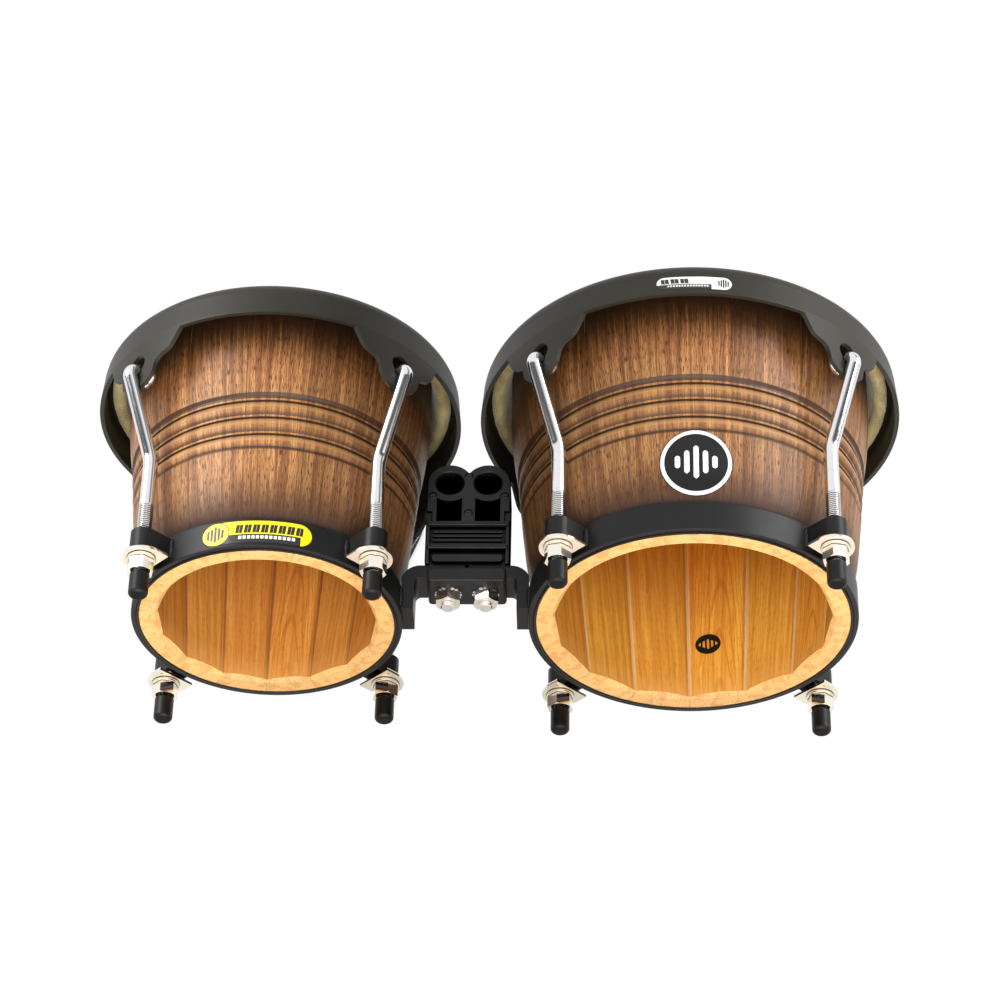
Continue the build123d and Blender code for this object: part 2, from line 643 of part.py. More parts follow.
def front_labels():
    """Label films for the small drum's band and the large drum's rim."""
    half = RIM_LABEL_SIZE[1] / 2
    rim_low = rim_side_r(RIM_LABEL_Z - half) + LARGER_BY
    rim_high = rim_side_r(RIM_LABEL_Z + half) + LARGER_BY
    ring_label = pill_label(BAND_R, BAND_R, RING_LABEL_Z, RING_LABEL_SIZE)
    rim_label = pill_label(rim_low, rim_high, RIM_LABEL_Z, RIM_LABEL_SIZE)
    return ring_label, rim_label


def write_node(name, solids, place):
    """Write one node's solids at their place on the object."""
    moved = [place * solid for solid in solids]
    export_step(Compound(moved), "parts/" + name + ".step")


os.makedirs("parts", exist_ok=True)
small_place = Pos(SMALL_AXIS_X, 0, FEET_DROP)
large_place = Pos(LARGE_AXIS_X, 0, FEET_DROP)
centre_place = Pos(SMALL_AXIS_X + CENTRE_FROM_SMALL_AXIS, 0, FEET_DROP)
drums = [
    ("small", small_place, 0.0, SMALL_STAVE_TURN),
    ("large", large_place, LARGER_BY, LARGE_STAVE_TURN),
]
for drum, place, grow, stave_turn in drums:
    for name, solids in drum_parts(grow, stave_turn).items():
        write_node(drum + "_" + name, solids, place)
for name, solids in centre_parts().items():
    write_node(name, solids, centre_place)
write_node("shell_badge", shell_badge(), large_place)
ring_label, rim_label = front_labels()
write_node("ring_label", ring_label, small_place)
write_node("rim_label", rim_label, large_place)
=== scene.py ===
"""Looks of a pair of bongo drums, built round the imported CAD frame. Lengths are metres."""
import math

import bpy
import numpy as np
from mathutils import Matrix, Vector, noise


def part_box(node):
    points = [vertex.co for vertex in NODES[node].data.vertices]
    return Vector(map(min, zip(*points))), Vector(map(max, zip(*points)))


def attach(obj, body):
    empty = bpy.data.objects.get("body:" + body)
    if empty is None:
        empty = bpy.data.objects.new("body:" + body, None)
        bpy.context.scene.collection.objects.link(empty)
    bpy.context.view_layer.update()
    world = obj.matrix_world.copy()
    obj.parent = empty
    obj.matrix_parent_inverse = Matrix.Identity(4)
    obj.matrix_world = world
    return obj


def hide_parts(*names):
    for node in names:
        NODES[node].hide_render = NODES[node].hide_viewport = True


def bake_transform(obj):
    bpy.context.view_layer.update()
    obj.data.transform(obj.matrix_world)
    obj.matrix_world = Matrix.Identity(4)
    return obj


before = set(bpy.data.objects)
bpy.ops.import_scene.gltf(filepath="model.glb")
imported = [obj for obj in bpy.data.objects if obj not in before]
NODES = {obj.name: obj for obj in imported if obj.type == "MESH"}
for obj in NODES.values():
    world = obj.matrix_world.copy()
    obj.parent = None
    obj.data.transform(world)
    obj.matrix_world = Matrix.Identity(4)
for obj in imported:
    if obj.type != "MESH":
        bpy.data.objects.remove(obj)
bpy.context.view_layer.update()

MM = 0.001
STAVES = 15
LUGS = {"front_left": 225, "front_right": 315, "back_right": 45, "back_left": 135}


class Drum:
    """Places and sizes of one drum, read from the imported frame, and the turn and stain of its wood."""

    def __init__(self, prefix, stave_turn, stain):
        self.prefix = prefix
        self.stave_turn = stave_turn
        self.stain = stain
        band_low, band_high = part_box(prefix + "_ring_band")
        shell_low, shell_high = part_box(prefix + "_shell_staves")
        hoop_low, hoop_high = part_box(prefix + "_flesh_hoop")
        self.x = (band_low.x + band_high.x) / 2
        self.band_r = (band_high.x - band_low.x) / 2
        self.base_z = band_low.z
        self.top_z = shell_high.z
        self.edge_r = (shell_high.x - shell_low.x) / 2
        self.hoop_z = (hoop_low.z + hoop_high.z) / 2
        self.hoop_r = (hoop_high.x - hoop_low.x) / 2 - (hoop_high.z - hoop_low.z) / 2
        nut_low, nut_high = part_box(prefix + "_nut_back_right")
        nut = (nut_low + nut_high) / 2
        self.rod_circle_r = math.hypot(nut.x - self.x, nut.y)
        self.body = prefix + "_tuning"

    def at(self, radius, angle, z):
        """Point at a radius and angle about the drum's axis."""
        return Vector((self.x + radius * math.cos(angle), radius * math.sin(angle), z))


SMALL = Drum("small", -1.3, 1.16)
LARGE = Drum("large", -6.0, 0.99)


# ---------------------------------------------------------------- material graph helpers
class Graph:
    """A node tree written as arithmetic on sockets: a new material's, or the world's."""

    def __init__(self, name, tree=None):
        if tree is None:
            self.material = bpy.data.materials.new(name)
            self.material.use_nodes = True
            tree = self.material.node_tree
            self.shader = tree.nodes["Principled BSDF"]
        self.tree = tree

    def node(self, kind, inputs=None, **settings):
        made = self.tree.nodes.new(kind)
        for key, value in settings.items():
            setattr(made, key, value)
        for key, value in (inputs or {}).items():
            self.plug(made.inputs[key], value)
        return made

    def plug(self, socket, value):
        if isinstance(value, Wire):
            self.tree.links.new(value.socket, socket)
        elif isinstance(value, tuple) and socket.type == "RGBA":
            socket.default_value = (*value[:3], 1.0)
        else:
            socket.default_value = value

    def wire(self, socket):
        return Wire(self, socket)

    def math(self, operation, *values):
        made = self.node("ShaderNodeMath", operation=operation)
        for index, value in enumerate(values):
            self.plug(made.inputs[index], value)
        return self.wire(made.outputs[0])

    def place(self):
        """Position on the object at rest, in millimetres, as three wires."""
        coordinates = self.node("ShaderNodeTexCoord")
        split = self.node("ShaderNodeSeparateXYZ", {0: self.wire(coordinates.outputs["Object"])})
        return [self.wire(out) / MM for out in split.outputs]

    def vector(self, x, y, z):
        return self.wire(self.node("ShaderNodeCombineXYZ", {0: x, 1: y, 2: z}).outputs[0])

    def spot(self):
        """Position on the object at rest, in millimetres, as one vector wire."""
        return self.vector(*self.place())

    def noise(self, vector, scale=1.0, detail=2.0, roughness=0.5, distortion=0.0):
        inputs = {"Vector": vector, "Scale": scale, "Detail": detail}
        inputs.update({"Roughness": roughness, "Distortion": distortion})
        return self.wire(self.node("ShaderNodeTexNoise", inputs).outputs["Fac"])

    def cell_walls(self, vector, scale):
        """Distance to the nearest wall between random cells."""
        inputs = {"Vector": vector, "Scale": scale}
        made = self.node("ShaderNodeTexVoronoi", inputs, feature="DISTANCE_TO_EDGE")
        return self.wire(made.outputs["Distance"])

    def random(self, value):
        """Repeatable random number from 0 to 1 for a value."""
        made = self.node("ShaderNodeTexWhiteNoise", {"W": value}, noise_dimensions="1D")
        return self.wire(made.outputs["Value"])

    def step(self, value, low, high):
        """Smooth rise from 0 at low to 1 at high."""
        made = self.node("ShaderNodeMapRange", interpolation_type="SMOOTHSTEP")
        for index, item in enumerate((value, low, high, 0.0, 1.0)):
            self.plug(made.inputs[index], item)
        return self.wire(made.outputs[0])

    def fall(self, value, low, high):
        """Smooth drop from 1 at low to 0 at high."""
        return 1.0 - self.step(value, low, high)

    def window(self, value, rise, full, drop, end):
        """1 between full and drop, with smooth sides down to 0 at rise and end."""
        return self.step(value, rise, full) * self.fall(value, drop, end)

    def wrapped(self, value, pitch):
        """Remainder of a value that repeats every pitch."""
        return self.math("FLOORED_MODULO", value, pitch)

    def mix(self, factor, first, second):
        made = self.node("ShaderNodeMix", data_type="RGBA")
        self.plug(made.inputs[0], factor)
        self.plug(made.inputs[6], first)
        self.plug(made.inputs[7], second)
        return self.wire(made.outputs[2])

    def grey(self, level):
        return self.wire(self.node("ShaderNodeCombineColor", {0: level, 1: level, 2: level}).outputs[0])

    def tint(self, colour, filter_colour, amount):
        """Colour seen through a coloured filter of a given strength."""
        made = self.node("ShaderNodeMix", data_type="RGBA", blend_type="MULTIPLY")
        self.plug(made.inputs[0], amount)
        self.plug(made.inputs[6], colour)
        self.plug(made.inputs[7], filter_colour)
        return self.wire(made.outputs[2])

    def shade(self, colour, amount):
        """Colour multiplied by a brightness wire."""
        return self.tint(colour, self.grey(amount), 1.0)

    def bump(self, height, strength=0.3, distance=0.2):
        """Normal from a height wire; distance is in millimetres."""
        inputs = {"Height": height, "Strength": strength, "Distance": distance * MM}
        return self.wire(self.node("ShaderNodeBump", inputs).outputs[0])

    def openness(self, reach):
        """1 in the open, falling to 0 deep in a crevice; reach is in millimetres."""
        made = self.node("ShaderNodeAmbientOcclusion", {"Distance": reach * MM}, samples=8)
        return self.wire(made.outputs["AO"])

    def normal(self):
        """True surface normal as three wires."""
        geometry = self.node("ShaderNodeNewGeometry")
        split = self.node("ShaderNodeSeparateXYZ", {0: self.wire(geometry.outputs["True Normal"])})
        return [self.wire(out) for out in split.outputs]

    def set(self, **inputs):
        for key, value in inputs.items():
            self.plug(self.shader.inputs[key.replace("_", " ").title().replace("Ior", "IOR")], value)
        return self.material


class Wire:
    """A socket that adds math nodes when it is used in arithmetic."""

    def __init__(self, graph, socket):
        self.graph = graph
        self.socket = socket

    def __add__(self, other):
        return self.graph.math("ADD", self, other)

    def __radd__(self, other):
        return self.graph.math("ADD", other, self)

    def __sub__(self, other):
        return self.graph.math("SUBTRACT", self, other)

    def __rsub__(self, other):
        return self.graph.math("SUBTRACT", other, self)

    def __mul__(self, other):
        return self.graph.math("MULTIPLY", self, other)

    def __rmul__(self, other):
        return self.graph.math("MULTIPLY", other, self)

    def __truediv__(self, other):
        return self.graph.math("DIVIDE", self, other)

    def __abs__(self):
        return self.graph.math("ABSOLUTE", self)


def srgb(red, green, blue):
    """Linear colour from 8-bit display values."""
    values = [channel / 255 for channel in (red, green, blue)]
    return tuple(v / 12.92 if v <= 0.04045 else ((v + 0.055) / 1.055) ** 2.4 for v in values)


# ---------------------------------------------------------------- wood
BELT_FOOT = 62.0
BELT_TOP = 97.0
FIRST_BEAD = 62.8
BEAD_PITCH = 10.6
LOW_BURST = (18.0, 54.0)
# heights of the top darkening: sprayed burst together with painted shade under the rim
HIGH_BURST_AND_RIM_SHADE = (105.0, 146.0)


def stave_width(drum):
    """Width of one stave in millimetres at the bearing edge."""
    return 2 * math.pi * drum.edge_r / MM / STAVES


def stave_place(g, drum):
    """Stave number, place across it, radius and height above the base in millimetres, and x and y."""
    x, y, z = g.place()
    x = x - drum.x / MM
    radius = g.math("SQRT", x * x + y * y)
    turn = g.math("ARCTAN2", y, x) * (180 / math.pi) - drum.stave_turn
    turn = g.wrapped(turn, 360.0) / (360.0 / STAVES)
    number = g.math("FLOOR", turn)
    across = (turn - number) * stave_width(drum)
    return number, across, radius, z - drum.base_z / MM, x, y


def grain(g, number, across, height):
    """Growth band, fibre, long pore, short pore and cathedral figure wires of open-grained wood."""
    lean = (g.random(number + 3.7) - 0.5) * 0.07
    offset = number * 37.0
    slow = g.noise(g.vector(across / 14, offset, height / 60), 1.0, 2.0) - 0.5
    line = across + height * lean + slow * 5.0
    band = g.noise(g.vector(line / 3.2, offset, height / 150), 1.0, 3.0, 0.6)
    fibre = g.noise(g.vector(line / 0.62, offset, height / 24), 1.0, 3.0, 0.62)
    long_pore = g.noise(g.vector(line / 0.40, offset + 11.0, height / 5.2), 1.0, 1.0, 0.5)
    short_pore = g.noise(g.vector(line / 0.62, offset + 17.0, height / 1.3), 1.0, 1.0, 0.5)
    middle = 12.0 + 12.0 * g.random(number + 9.1)
    bow = (across + slow * 9.0 - middle) / 6.5
    rise = height * (0.03 + 0.05 * g.random(number + 5.3))
    figure = g.math("SINE", (bow * bow + rise) * 3.6) * 0.5 + 0.5
    return band, fibre, long_pore, short_pore, figure


def moulding_stain_and_shade(g, height):
    """Masks of the belt, of a painted highlight on its beads' crowns, and of stain and painted shade in the
    corners, under the beads and along its two edges.
    """
    in_belt = g.window(height, BELT_FOOT, BELT_FOOT + 0.6, BELT_TOP, BELT_TOP + 0.8)
    bead = g.wrapped(height - FIRST_BEAD, BEAD_PITCH)
    # painted shade in the corner between beads
    corner = g.window(bead, 7.9, 8.7, 9.2, 9.6)
    # painted highlight on the crown of each bead
    crown_highlight = g.window(bead, 3.4, 5.2, 7.0, 7.9) * in_belt
    # stain and painted shade under each bead and in the corners
    stain = g.math("MAXIMUM", corner * 0.95, g.fall(bead, 0.0, 3.4) * 0.84) * in_belt
    # painted shade on the belt's downward-facing top wall
    top_wall_shade = g.window(height, 94.9, 95.9, 97.2, 97.9)
    # painted shade along the foot of the belt
    foot_shade = g.window(height, 60.9, 62.0, 63.2, 64.6)
    stain = g.math("MAXIMUM", stain, top_wall_shade * 0.92)
    return in_belt, crown_highlight, g.math("MAXIMUM", stain, foot_shade * 0.8)


def outer_tone(g, drum, number, seam, height, waves):
    """Brown lacquer, sprayed darker towards the rim and the band and with painted shade under the rim, a
    painted highlight on the bead crowns, and stain and painted shade in the mouldings.
    """
    band, fibre, long_pore, short_pore, _ = waves
    in_belt, crown_highlight, stain = moulding_stain_and_shade(g, height)
    tone = g.mix(g.step(band, 0.32, 0.66), srgb(194, 142, 90), srgb(132, 86, 50))
    tone = g.mix(g.step(fibre, 0.38, 0.64) * 0.62, tone, srgb(90, 53, 29))
    tone = g.shade(tone, drum.stain * (0.84 + 0.24 * g.random(number + 0.5)))
    tone = g.shade(tone, 1.0 - g.fall(seam, 0.0, 0.5) * 0.40)
    pore = g.step(long_pore, 0.54, 0.63) * (1.0 - in_belt) + g.step(short_pore, 0.58, 0.70) * in_belt * 0.8
    tone = g.mix(pore * 0.82, tone, srgb(44, 22, 12))
    # painted highlight on the bead crowns
    tone = g.mix(crown_highlight * 0.40, tone, srgb(214, 164, 106))
    # stain and painted shade in the mouldings
    tone = g.mix(stain, tone, srgb(42, 22, 9))
    low_dark = g.fall(height + (band - 0.5) * 8.0, *LOW_BURST)
    # sprayed burst towards the rim, together with painted shade under the rim's overhang
    high_burst_and_rim_shade = g.step(height + (fibre - 0.5) * 14.0 + (band - 0.5) * 12.0, *HIGH_BURST_AND_RIM_SHADE)
    tone = g.mix(low_dark * 0.93, tone, srgb(44, 25, 19))
    tone = g.tint(tone, (0.96, 0.82, 0.66), g.step(height, 98.0, 124.0))
    return g.mix(high_burst_and_rim_shade * 0.97, tone, srgb(27, 9, 1)), pore


def inner_tone(g, number, across, seam, height, waves, palette):
    """Clear-lacquered inside of the staves, each with its own tone, and glue or stain at the joints, a
    painted shadow along one edge of some staves, painted light near the open end and painted shade deeper
    inside.
    """
    band, fibre, long_pore, _, figure = waves
    light, dark, streak, joint, joint_width, deep_shade = palette
    tint = g.random(number + 2.2)
    tone = g.mix(g.step(band, 0.30, 0.70), light, dark)
    tone = g.mix(g.step(fibre, 0.42, 0.70) * 0.45, tone, streak)
    tone = g.mix(g.step(figure, 0.80, 0.99) * g.step(tint, 0.35, 0.6) * 0.40, tone, streak)
    tone = g.mix(g.step(g.random(number + 4.4), 0.55, 0.95) * 0.45, tone, srgb(206, 122, 58))
    tone = g.shade(tone, 0.78 + 0.40 * tint)
    tone = g.mix(g.step(long_pore, 0.58, 0.67) * 0.35, tone, tuple(c * 0.55 for c in streak))
    ragged = g.noise(g.vector(number * 5.0, 0.0, height / 9.0), 1.0, 3.0, 0.6)
    glue = g.fall(seam, joint_width * (0.2 + ragged * 0.7), joint_width * (0.5 + ragged))
    shadow = g.fall(across, 2.4, 3.4) * g.step(g.random(number + 7.7), 0.3, 0.5)
    tone = g.mix(shadow * 0.40, tone, tuple(c * 0.5 for c in streak))
    tone = g.mix(glue * 0.7, tone, joint)
    # painted light on the inside near the open end
    tone = g.mix(g.fall(height + ragged * 8.0, 3.0, 26.0) * 0.40, tone, srgb(240, 184, 108))
    # painted shade deeper inside, tinted by the warm walls
    return g.tint(tone, deep_shade, g.step(height, 25.0, 125.0))


def cut_tone(g, number, seam, x, y, height):
    """Pale end grain of the sanded mouth."""
    end = g.noise(g.vector(x / 0.8, y / 0.8, height / 3), 1.0, 4.0, 0.6)
    ring = g.noise(g.vector(x / 6, y / 6, number), 1.0, 2.0, 0.5, 0.6)
    streak = g.noise(g.vector(x / 0.5, y / 4.5, number * 3.0), 1.0, 3.0, 0.6)
    cut = g.mix(g.step(end, 0.35, 0.7), srgb(240, 194, 128), srgb(210, 158, 94))
    cut = g.mix(g.step(ring, 0.48, 0.60) * 0.45, cut, srgb(190, 132, 72))
    cut = g.mix(g.step(streak, 0.56, 0.66) * 0.35, cut, srgb(166, 108, 56))
    cut = g.shade(cut, 0.86 + 0.18 * g.random(number + 6.6))
    return g.mix(g.fall(seam, 0.0, 0.35) * 0.6, cut, srgb(130, 84, 46))


STAMP_X = 11.0
STAMP_HEIGHT = 38.0
STAMP_R = 7.1


def stamp_mask(g, x, height, y):
    """Round ink stamp with a plain row of bars, on the inside of the back wall."""
    across = x - STAMP_X
    up = height - STAMP_HEIGHT
    far = g.math("SQRT", across * across + up * up)
    disc = g.fall(far, STAMP_R, STAMP_R + 0.3)
    from_bar = g.wrapped(across + 1.2, 2.4) - 1.2
    tall = 3.6 - abs(across) * 0.55
    bars = g.fall(abs(from_bar), 0.55, 0.75) * g.step(tall - abs(up), -0.1, 0.2)
    bars = bars * g.fall(abs(across), 5.2, 5.4)
    return disc * (1.0 - bars) * g.step(y, 0.0, 1.0)


# Inside palettes: light, dark and streak wood, joint colour and width, and the tint of the painted shade
# deep inside.
SMALL_INSIDE = (
    srgb(240, 174, 80), srgb(204, 130, 50), srgb(160, 84, 28), srgb(140, 88, 54), 1.2, (0.60, 0.45, 0.28),
)
LARGE_INSIDE = (
    srgb(255, 198, 80), srgb(224, 146, 46), srgb(170, 90, 16), srgb(240, 208, 160), 1.5, (0.46, 0.26, 0.03),
)


def shell_wood(drum, palette):
    """Lacquered staves: sunburst outside, clear inside, end grain at the mouth."""
    g = Graph(drum.prefix + "_shell_wood")
    number, across, radius, height, x, y = stave_place(g, drum)
    waves = grain(g, number, across, height)
    band, fibre = waves[:2]
    nx, ny, _ = g.normal()
    outward = (nx * x + ny * y) / radius
    outside = g.step(outward, 0.0, 0.15)
    inside = g.step(outward * -1.0, 0.80, 0.92)
    half = stave_width(drum) / 2
    seam = half - abs(across - half)
    tone, pore = outer_tone(g, drum, number, seam, height, waves)
    warm = inner_tone(g, number, across, seam, height, waves, palette)
    cut = cut_tone(g, number, seam, x, y, height)
    colour = g.mix(inside, cut, warm)
    if drum is LARGE:
        colour = g.mix(stamp_mask(g, x, height, y) * inside, colour, srgb(22, 17, 12))
    colour = g.mix(outside, colour, tone)
    relief = fibre * 0.4 - pore * outside * 0.9 + band * 0.3
    return g.set(
        base_color=colour, roughness=0.50 + 0.12 * fibre - outside * 0.08,
        normal=g.bump(relief, 0.35, 0.12), specular_ior_level=0.28,
        coat_weight=outside * 0.12, coat_roughness=0.25,
    )


# ---------------------------------------------------------------- metals, rubber, plastic, hide
def powder_black(name, colour, roughness, grain_mm, sheen=0.3):
    """Black powder coat: fine orange-peel and faint rubbed patches."""
    g = Graph(name)
    spot = g.spot()
    peel = g.noise(spot, 1 / grain_mm, 3.0, 0.6)
    cloud = g.noise(spot, 1 / 18.0, 3.0, 0.5)
    tone = g.mix(g.step(cloud, 0.3, 0.7), colour, tuple(c * 1.25 for c in colour))
    return g.set(
        base_color=tone, roughness=roughness + (cloud - 0.5) * 0.12 + (peel - 0.5) * 0.08,
        normal=g.bump(peel, 0.22, 0.05), specular_ior_level=sheen,
    )


def plated(name, colour, roughness, metal=1.0, relief=0.06, crevice_shade=None):
    """Bright plating with faint polishing lines, handling haze and, if asked, painted shade in the
    crevices.
    """
    g = Graph(name)
    x, y, z = g.place()
    spot = g.vector(x, y, z)
    haze = g.noise(spot, 1 / 7.0, 4.0, 0.6)
    lines = g.noise(g.vector(x / 2.5, y / 2.5, z / 0.12), 1.0, 2.0, 0.5)
    tone = g.mix(g.step(haze, 0.45, 0.75) * 0.3, colour, tuple(c * 0.8 for c in colour))
    if crevice_shade:
        reach, low, high = crevice_shade
        # painted shade where the surface is hemmed in: contact lines and thread roots
        tone = g.mix(g.fall(g.openness(reach), low, high), tone, srgb(38, 28, 20))
    return g.set(
        base_color=tone, metallic=metal, normal=g.bump(lines * 0.4 + haze, relief, 0.04),
        roughness=roughness + (haze - 0.5) * 0.08 + (lines - 0.5) * 0.03,
    )


def soft_rubber(name, colour, roughness):
    """Moulded rubber: soft sheen and dust caught in a faint texture."""
    g = Graph(name)
    spot = g.spot()
    pits = g.noise(spot, 1 / 0.35, 3.0, 0.6)
    dust = g.noise(spot, 1 / 4.0, 4.0, 0.6)
    tone = g.mix(g.step(dust, 0.55, 0.8) * 0.35, colour, tuple(c * 2.2 + 0.004 for c in colour))
    return g.set(
        base_color=tone, roughness=roughness + (dust - 0.5) * 0.2,
        normal=g.bump(pits, 0.25, 0.05), specular_ior_level=0.28,
    )


def moulded_plastic(name, colour):
    """Spark-eroded moulded plastic with soft flow marks, and painted shade deep in its bores and hollows.
    """
    g = Graph(name)
    x, y, z = g.place()
    spot = g.vector(x, y, z)
    spark = g.noise(spot, 1 / 0.22, 2.0, 0.6)
    flow = g.noise(g.vector(x / 9, y / 9, z / 22), 1.0, 3.0, 0.5, 0.6)
    tone = g.mix(g.step(flow, 0.3, 0.7), colour, tuple(c * 1.3 for c in colour))
    # painted shade: colour and shine fall away in the bores and hollows
    lit = g.step(g.openness(24.0), 0.35, 0.88)
    return g.set(
        base_color=g.shade(tone, lit), roughness=0.42 + (spark - 0.5) * 0.12 + (flow - 0.5) * 0.1,
        normal=g.bump(spark, 0.2, 0.04), specular_ior_level=lit * 0.38,
    )


def raw_hide(drum):
    """Goat hide: mottled top, fuzzy olive roll at the edge."""
    g = Graph(drum.prefix + "_hide")
    x, y, z = g.place()
    height = z - drum.top_z / MM
    spot = g.vector(x, y, z)
    mottle = g.noise(spot, 1 / 22.0, 5.0, 0.62, 0.5)
    fine = g.noise(spot, 1 / 1.1, 4.0, 0.7)
    veins = g.cell_walls(spot, 1 / 11.0)
    top = g.mix(g.step(mottle, 0.32, 0.7), srgb(218, 200, 162), srgb(188, 160, 114))
    top = g.mix(g.fall(veins, 0.0, 0.03) * 0.12, top, srgb(150, 120, 80))
    top = g.mix(g.step(fine, 0.55, 0.75) * 0.25, top, srgb(140, 112, 74))
    roll = g.mix(g.step(mottle, 0.3, 0.7), srgb(172, 154, 102), srgb(116, 94, 46))
    roll = g.mix(g.step(fine, 0.45, 0.7) * 0.6, roll, srgb(192, 182, 138))
    return g.set(
        base_color=g.mix(g.step(height, -7.0, -1.0), roll, top),
        roughness=0.62 + (fine - 0.5) * 0.3, normal=g.bump(fine + mottle, 0.4, 0.18),
        sheen_weight=0.25, sheen_roughness=0.5, subsurface_weight=0.08, subsurface_scale=0.004,
    )


# ---------------------------------------------------------------- mesh helpers
def add_mesh(name, points, faces, material, smooth=True):
    """New mesh object in the shared frame."""
    data = bpy.data.meshes.new(name)
    data.from_pydata([tuple(p) for p in points], [], faces)
    data.validate()
    data.update()
    data.polygons.foreach_set("use_smooth", [smooth] * len(data.polygons))
    made = bpy.data.objects.new(name, data)
    bpy.context.scene.collection.objects.link(made)
    data.materials.append(material)
    return made


def turns(count):
    """Equal angles round one circle."""
    return [2 * math.pi * i / count for i in range(count)]


def axes_at(angle):
    """Outward and sideways directions at an angle about a drum's axis."""
    return Vector((math.cos(angle), math.sin(angle), 0)), Vector((-math.sin(angle), math.cos(angle), 0))


def tube(rings, closed=False):
    """Points and faces of a skin over equal rings, with end caps when it is open."""
    points = [p for ring in rings for p in ring]
    count = len(rings[0])
    faces = []
    last = len(rings) if closed else len(rings) - 1
    for row in range(last):
        low = row * count
        high = ((row + 1) % len(rings)) * count
        for i in range(count):
            j = (i + 1) % count
            faces.append((low + i, low + j, high + j, high + i))
    if not closed:
        faces.append(tuple(reversed(range(count))))
        faces.append(tuple(range(len(points) - count, len(points))))
    return points, faces


def joined(name, parts, material):
    """One mesh object from several (points, faces) pairs."""
    points, faces = [], []
    for part_points, part_faces in parts:
        start = len(points)
        points.extend(part_points)
        faces.extend(tuple(start + i for i in face) for face in part_faces)
    return add_mesh(name, points, faces, material)


def bevelled(node, width_mm):
    """Soften a CAD node's sharp edges for the eye."""
    made = NODES[node].modifiers.new("edge", "BEVEL")
    made.width = width_mm * MM
    made.segments = 2
    made.limit_method = "ANGLE"
    made.angle_limit = math.radians(40)
    made.harden_normals = True


def finish_node(node, material):
    """Give a CAD node its one material."""
    data = NODES[node].data
    data.materials.clear()
    data.materials.append(material)


# ---------------------------------------------------------------- tuning rods
ROD_R = 4.0 * MM
ROD_SIDES = 28
ROD_FOOT = 20.1 * MM
THREAD_PITCH = 1.25 * MM
THREAD_ROOT_R = 3.42 * MM
THREAD_TOP = 35.0 * MM
ROWS_PER_TURN = 8
KNEE_HEIGHT = 65 * MM
KNEE_BEND_R = 22.0 * MM
HOOK_HEIGHT = 118 * MM
HOOK_OUT = 21.6 * MM
HOOK_IN = 6.8 * MM
HOOK_BEND_R = 4.2 * MM
HEAD_OUTLINE = (
    (9.1, 3.9), (9.0, 5.2), (8.6, 5.7), (6.3, 5.7), (5.9, 5.2), (5.8, 4.0), (5.8, 2.0), (6.2, 0.8),
)


def bent_path(corners, bends):
    """Dense points of a planar (radius, height) path with rounded corners."""
    path = [Vector(corners[0])]
    for before, corner, after, bend in zip(corners, corners[1:], corners[2:], bends):
        before, corner, after = Vector(before), Vector(corner), Vector(after)
        go_in = (corner - before).normalized()
        go_out = (after - corner).normalized()
        turn = go_in.angle(go_out)
        cut = bend * math.tan(turn / 2)
        start = corner - go_in * cut
        end = corner + go_out * cut
        middle = corner + (go_out - go_in).normalized() * (bend / math.cos(turn / 2))
        steps = max(6, int(math.degrees(turn) / 5))
        for k in range(steps + 1):
            t = k / steps
            arm = (start - middle).slerp(end - middle, t).normalized() * bend
            path.append(middle + arm)
    path.append(Vector(corners[-1]))
    return path


def thread_rings(drum, angle):
    """Rings of a rod's rolled thread, faded out at both ends."""
    radial, side = axes_at(angle)
    low = drum.base_z - ROD_FOOT
    top = drum.base_z + THREAD_TOP
    rows = int((top - low) / THREAD_PITCH * ROWS_PER_TURN)
    rings = []
    for k in range(rows + 1):
        z = low + (top - low) * k / rows
        fade = min(1.0, k / 8, (rows - k) / 10)
        ring = []
        for turn in turns(ROD_SIDES):
            wave = 0.5 + 0.5 * math.cos(2 * math.pi * z / THREAD_PITCH - turn)
            radius = ROD_R - (ROD_R - THREAD_ROOT_R) * (1 - wave ** 0.7) * fade
            flat = radial * (drum.rod_circle_r + radius * math.cos(turn)) + side * (radius * math.sin(turn))
            ring.append(Vector((drum.x + flat.x, flat.y, z)))
        rings.append(ring)
    return rings


def shank_rings(drum, angle):
    """Rings of a rod's bent shank and hook, above the thread."""
    radial, side = axes_at(angle)
    foot_r = drum.rod_circle_r
    hook_z = drum.base_z + HOOK_HEIGHT
    corners = [(foot_r, drum.base_z + THREAD_TOP), (foot_r, drum.base_z + KNEE_HEIGHT)]
    corners += [(foot_r + HOOK_OUT, hook_z), (foot_r + HOOK_IN, hook_z)]
    path = bent_path(corners, (KNEE_BEND_R, HOOK_BEND_R))
    rings = []
    for k in range(1, len(path)):
        ahead = path[min(k + 1, len(path) - 1)] - path[k - 1]
        across = Vector((ahead.y, -ahead.x)).normalized()
        ring = []
        for turn in turns(ROD_SIDES):
            spot = path[k] + across * (ROD_R * math.cos(turn))
            flat = radial * spot.x + side * (ROD_R * math.sin(turn))
            ring.append(Vector((drum.x + flat.x, flat.y, spot.y)))
        rings.append(ring)
    return rings


def forged_head(drum, angle):
    """Rings of the upset head that stops a rod's hook behind the rim plate."""
    radial, side = axes_at(angle)
    hook_z = drum.base_z + HOOK_HEIGHT
    rings = []
    for out, radius in HEAD_OUTLINE:
        ring = []
        for turn in turns(ROD_SIDES):
            flat = radial * (drum.rod_circle_r + out * MM) + side * (radius * MM * math.sin(turn))
            ring.append(Vector((drum.x + flat.x, flat.y, hook_z - radius * MM * math.cos(turn))))
        rings.append(ring)
    return rings


def add_rods(drum):
    """The four hooked tuning rods of one drum."""
    parts = []
    for degrees in LUGS.values():
        angle = math.radians(degrees)
        parts.append(tube(thread_rings(drum, angle) + shank_rings(drum, angle)))
        parts.append(tube(forged_head(drum, angle)))
    rods = joined(drum.prefix + "_threaded_rods", parts, CHROME)
    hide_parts(drum.prefix + "_tuning_rods")
    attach(rods, drum.body)


